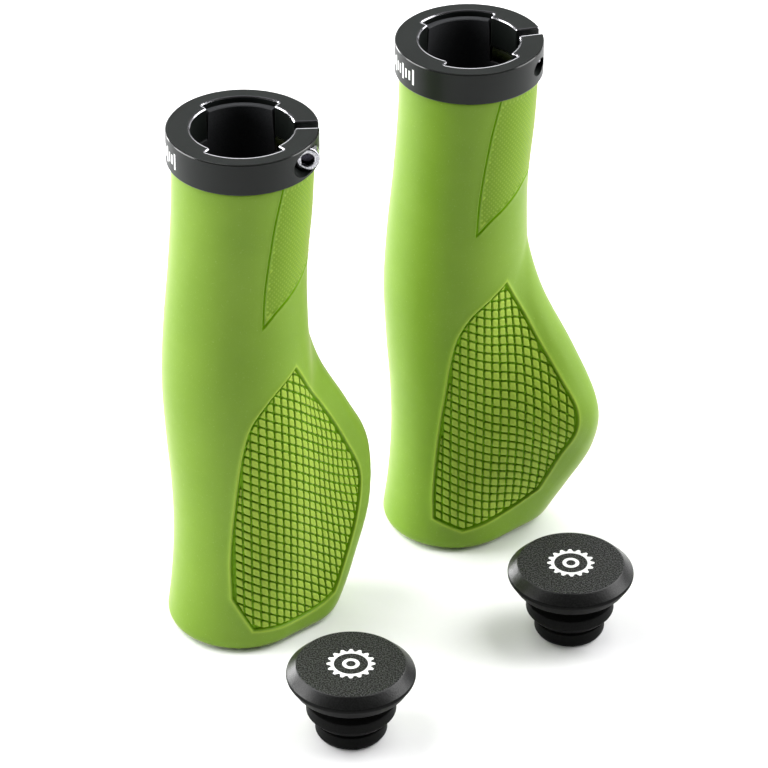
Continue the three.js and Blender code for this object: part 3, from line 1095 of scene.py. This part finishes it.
def offset_plan(plan, inward):
    """The ring's plan drawn in by a chamfer's width, which is less on the ring's outside."""
    outside = np.linalg.norm(plan, axis=1, keepdims=True) > RING_RADIUS - 0.05
    return plan - mitres(plan) * inward * np.where(outside, 0.6, 1.0)


def along_screw(points):
    """From the screw's own frame, whose +Z points out of its head, to the ring's."""
    x, y, z = points.T
    return np.stack([x + SCREW_OUT, -z, y + RING_LOW + RING_HEIGHT / 2], 1)


def bore_screw_hole(piece, grip, radius, low, high):
    """Cuts a plain cylinder on the screw's axis out of the ring."""
    vertices, faces = revolved([(radius, low), (radius, high)], 64)
    tool = grip.piece("cutter", from_ring(along_screw(vertices)), faces, [ANODISED])
    cut = piece.modifiers.new("cut", "BOOLEAN")
    cut.operation = "DIFFERENCE"
    cut.solver = "EXACT"
    cut.object = tool
    evaluated = piece.evaluated_get(bpy.context.evaluated_depsgraph_get())
    finished = bpy.data.meshes.new_from_object(evaluated)
    piece.modifiers.clear()
    piece.data = finished
    bpy.data.objects.remove(tool)


def make_ring(grip):
    """The split ring. Its upper edges are machined bright on the inside and polished on the outside."""
    plan = ring_plan()
    levels = [(inward, RING_LOW + height) for inward, height in RING_CHAMFER]
    levels += [(inward, RING_LOW + RING_HEIGHT - height) for inward, height in reversed(RING_CHAMFER)]
    rings = []
    for inward, z in levels:
        drawn = offset_plan(plan, inward)
        rings.append(np.column_stack([drawn, np.full(len(drawn), z)]))
    vertices, faces = loft(rings)
    count = len(plan)
    outside = np.linalg.norm((plan + np.roll(plan, -1, axis=0)) / 2, axis=1) > RING_RADIUS - 0.2
    upper_bands = len(RING_CHAMFER) - 1
    slots = [0] * (len(faces) - upper_bands * count) + np.where(outside, 2, 1).tolist() * upper_bands
    for level, facing_up in ((0, False), (len(rings) - 1, True)):
        for a, b, c in tessellate_polygon([[Vector(p) for p in rings[level]]]):
            corner = rings[level][a]
            up = np.cross(rings[level][b] - corner, rings[level][c] - corner)[2] > 0
            ids = (a, b, c) if up == facing_up else (a, c, b)
            faces.append(tuple(level * count + i for i in ids))
            slots.append(0)
    piece = grip.piece("clamp_ring", from_ring(vertices), faces, [ANODISED, MACHINED, POLISHED])
    piece.data.polygons.foreach_set("material_index", slots)
    out = RING_RADIUS + 1
    bore_screw_hole(piece, grip, SCREW_SHANK + GAP, -out, out)
    bore_screw_hole(piece, grip, SCREW_HEAD + GAP, SCREW_SEAT, out)
    piece.data.set_sharp_from_angle(angle=math.radians(18))
    for face in piece.data.polygons:
        face.use_smooth = abs(face.normal.z) < 0.2
    keep(piece, f"{grip.side}_ring", f"{grip.side}_lock_ring")


SCALE_EACH_SIDE = 6  # lines on each side of the middle one
SCALE_PITCH = 4.5  # degrees
SCALE_LINE_HALF = 1  # degrees
SCALE_LONG, SCALE_SHORT = 1.9, 1.15  # half of a line's length, where every third one is long
SCALE_DEPTHS = (0.02, -0.08)  # the print's front and back over the ring's side


def make_ring_marks(grip):
    """A printed scale of short lines on the side away from the slot, for setting the grip's angle."""
    front, back = (RING_RADIUS + depth for depth in SCALE_DEPTHS)
    middle = RING_LOW + RING_HEIGHT / 2
    marks = []
    for n in range(-SCALE_EACH_SIDE, SCALE_EACH_SIDE + 1):
        reach = SCALE_LONG if n % 3 == 0 else SCALE_SHORT
        low, high = middle - reach, middle + reach
        corners = np.array([(front, low), (back, low), (back, high), (front, high)])
        centre = 180 + n * SCALE_PITCH
        turns = np.radians(np.linspace(centre - SCALE_LINE_HALF, centre + SCALE_LINE_HALF, 4))
        marks.append(capped([ring_at(np.full(4, turn), *corners.T) for turn in turns]))
    vertices, faces = joined(marks)
    piece = grip.piece("ring_scale", from_ring(vertices), faces, [PRINT], sharp=40)
    keep(piece, f"{grip.side}_ring", None)


def make_screw(grip):
    """A socket head cap screw: knurled head, hex socket and a rolled thread."""
    turn = whole_turn(96)
    corner = SCREW_SOCKET / math.cos(math.pi / 6)
    sector = (turn + math.pi / 6) % (math.pi / 3) - math.pi / 6
    hexagon = SCREW_SOCKET / np.cos(sector)
    knurl = SCREW_HEAD - 0.05 * (np.arange(len(turn)) % 4 < 2)
    top = SCREW_SEAT + SCREW_HEAD_HEIGHT
    tip = SCREW_SEAT - SCREW_LENGTH
    sections = [(0.02, tip), (SCREW_SHANK - 0.4, tip)]
    for z in np.arange(tip + 0.35, SCREW_SEAT - 0.6, SCREW_PITCH / 6):
        phase = (z / SCREW_PITCH + turn / (2 * math.pi)) % 1
        sections.append((SCREW_SHANK - SCREW_THREAD * np.abs(2 * phase - 1) ** 0.8, z))
    sections += [
        (SCREW_SHANK - SCREW_THREAD, SCREW_SEAT - 0.3),
        (SCREW_SHANK, SCREW_SEAT - 0.02),
        (SCREW_HEAD - 0.15, SCREW_SEAT),
        (SCREW_HEAD - 0.02, SCREW_SEAT + 0.12),
        (knurl, SCREW_SEAT + 0.3),
        (knurl, top - 0.65),
        (SCREW_HEAD - 0.03, top - 0.5),
        (SCREW_HEAD - 0.06, top - 0.3),
        (SCREW_HEAD - 0.2, top - 0.1),
        (SCREW_HEAD - 0.4, top),
        (corner + 0.3, top),
    ]
    socket = [
        (np.minimum(hexagon + 0.1, corner), top - 0.16),
        (hexagon, top - 0.3),
        (hexagon, top - SCREW_SOCKET_DEPTH),
        (0.02, top - SCREW_SOCKET_DEPTH - 0.35),
    ]
    vertices, faces = capped([ring_at(turn, *section) for section in sections + socket])
    piece = grip.piece(
        "cap_screw", from_ring(along_screw(vertices)), faces, [STEEL, SOCKET_PAINTED_SHADE], sharp=35
    )
    # the faces run from the tip to the socket's floor, then comes the cap on the tip
    socket_start = len(sections) * len(turn)
    # the socket's faces take the steel with painted shade
    index = [int(n >= socket_start and n != len(faces) - 2) for n in range(len(faces))]
    piece.data.polygons.foreach_set("material_index", index)
    keep(piece, f"{grip.side}_screw", f"{grip.side}_clamp_screw")


PLUG_TOP = 18.0
PLUG_RIM_LOW = 15.9
PLUG_FACE_LOW = 17.94
PLUG_HOLLOW_TOP = 14
# (radius, z) from the top of the hollow, down the inside and up the outside to the head's flat top
PLUG_PROFILE = [
    (5.2, PLUG_HOLLOW_TOP), (5.2, 0), (7.3, 0), (7.95, 1), (7.9, 3.5), (7.3, 3.5), (7.3, 4.5), (8.4, 4.5),
    (9.95, 6.2), (9.75, 8.6), (7.3, 8.6), (7.3, 12.6), (12.6, 12.6), (14.2, 15.1), (14.2, 15.8),
    (11.95, PLUG_TOP), (0, PLUG_TOP),
]


def make_plug(side):
    low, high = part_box(f"{side}_end_plug")
    foot = (low + high) / 2
    foot.z = low.z
    profile = [(0, PLUG_HOLLOW_TOP)] + rounded_profile(PLUG_PROFILE, 0.3, 4)
    vertices, faces = revolved(profile, 160)
    placed = vertices * MM + np.array(foot)
    materials = [PLUG_SMOOTH, PLUG_RIM, PLUG_GRAIN]
    piece = mesh_piece(f"{side}_bar_plug", placed, faces, materials, sharp=35)
    index = []
    for face in faces:
        height = vertices[list(face), 2].mean()
        index.append(int(height > PLUG_RIM_LOW) + int(height > PLUG_FACE_LOW))
    piece.data.polygons.foreach_set("material_index", index)
    keep(piece, f"{side}_plug", f"{side}_end_plug")
    make_plug_mark(side, foot)


CHAINRING_TEETH = 16
CHAINRING_TOOTH = 0.42  # half of a tooth's height
# Outer radius, to the middle of the teeth, and radius of the hole
CHAINRING = (4.9, 3.75)
CHAINRING_HUB = (1.9, 1.05)
CHAINRING_DEPTHS = (-0.1, 0.03)  # the print's back and front over the plug's top


def make_plug_mark(side, foot):
    """A printed chainring: a toothed ring round a small hub."""
    turn = whole_turn(CHAINRING_TEETH * 8)
    wave = CHAINRING_TOOTH * np.clip(np.cos(turn * CHAINRING_TEETH) * 2, -1, 1)
    low, high = (PLUG_TOP + depth for depth in CHAINRING_DEPTHS)
    parts = []
    for (outer, hole), teeth in ((CHAINRING, wave), (CHAINRING_HUB, 0)):
        outer = outer + teeth
        sections = [(outer, low), (outer, high), (hole, high), (hole, low)]
        parts.append(loft([ring_at(turn, *section) for section in sections], closed=True))
    vertices, faces = joined(parts)
    piece = mesh_piece(f"{side}_plug_print", vertices * MM + np.array(foot), faces, [PRINT], sharp=40)
    keep(piece, f"{side}_plug", None)


# ---- light, floor and camera ----

AIM = Vector((0, 0, 0.05))
# name, place and size in metres, and watts
SOFTBOXES = [
    ("back_left_softbox", (-0.68, 0.95, 0.2), (0.9, 0.4), 14),
    ("back_right_softbox", (0.85, 0.75, 0.75), (0.6, 0.4), 4.5),
    ("left_softbox", (-1.1, 0.0, 0.35), (0.7, 0.6), 11),
    ("right_softbox", (1.1, 0.1, 0.35), (0.7, 0.6), 7.2),
    ("overhead_left", (-0.9, 0.3, 1.3), (1.0, 1.4), 27),
    ("overhead_right", (0.9, 0.3, 1.3), (1.0, 1.4), 25),
]
# A long lens in front of the pair, looking 33 degrees down
CAMERA_FROM_LEFT_GRIP = (0.0302, -0.8336)
CAMERA_HEIGHT = 0.6026
CAMERA_DOWN = 33
LENS = 210.94


def add_area(name, place, size, power):
    """A softbox aimed at the middle of the object."""
    lamp = bpy.data.lights.new(name, "AREA")
    lamp.shape = "RECTANGLE"
    lamp.size, lamp.size_y = size
    lamp.energy = power
    light = bpy.data.objects.new(name, lamp)
    bpy.context.scene.collection.objects.link(light)
    light.location = place
    light.rotation_euler = (AIM - Vector(place)).to_track_quat("-Z", "Y").to_euler()


def make_studio():
    """A pale floor, with softboxes behind, at the sides and overhead."""
    half = 3.0
    corners = [(-half, -half, 0), (half, -half, 0), (half, half, 0), (-half, half, 0)]
    mesh_piece("floor", corners, [(0, 1, 2, 3)], [PAPER])
    make_surround()
    for softbox in SOFTBOXES:
        add_area(*softbox)
    bpy.context.scene.view_settings.view_transform = "Standard"
    bpy.context.scene.view_settings.look = "None"


def make_surround():
    """Light from all round: bright behind the object, and dimmer from the front and the right."""
    world = bpy.data.worlds.new("studio")
    world.use_nodes = True
    tree = world.node_tree
    place = add_node(tree, "ShaderNodeTexCoord").outputs["Generated"]
    direction = add_node(tree, "ShaderNodeSeparateXYZ", Vector=place).outputs
    background = tree.nodes["Background"]
    background.inputs["Color"].default_value = colour(0.98, 0.99, 1.0)
    strength = spread(tree, direction["Y"], 0.08, 1.5, -0.6, 0.8)
    near_horizon = spread(tree, direction["Z"], 1.7, 0.12, 0.1, 0.4)
    to_the_left = spread(tree, direction["X"], 1.0, 0.3, 0.2, 0.5)
    for share in (near_horizon, to_the_left):
        product = add_node(tree, "ShaderNodeMath", operation="MULTIPLY")
        tree.links.new(strength, product.inputs[0])
        tree.links.new(share, product.inputs[1])
        strength = product.outputs["Value"]
    tree.links.new(strength, background.inputs["Strength"])
    bpy.context.scene.world = world


def make_camera():
    lens = bpy.data.cameras.new("camera")
    lens.sensor_width = 36
    lens.lens = LENS
    lens.clip_start, lens.clip_end = 0.05, 20
    camera = bpy.data.objects.new("camera", lens)
    bpy.context.scene.collection.objects.link(camera)
    right, back = CAMERA_FROM_LEFT_GRIP
    camera.location = (GRIPS[0].x + right, GRIPS[0].y + back, CAMERA_HEIGHT)
    camera.rotation_euler = (math.radians(90 - CAMERA_DOWN), 0, 0)
    bpy.context.scene.camera = camera


GRIPS = [Grip("left"), Grip("right")]
make_camera()
make_studio()
sleeve_shape = sleeve_mesh()
for each in GRIPS:
    make_sleeve(each, *sleeve_shape)
    make_core(each)
    make_ring(each)
    make_ring_marks(each)
    make_screw(each)
    make_plug(each.side)
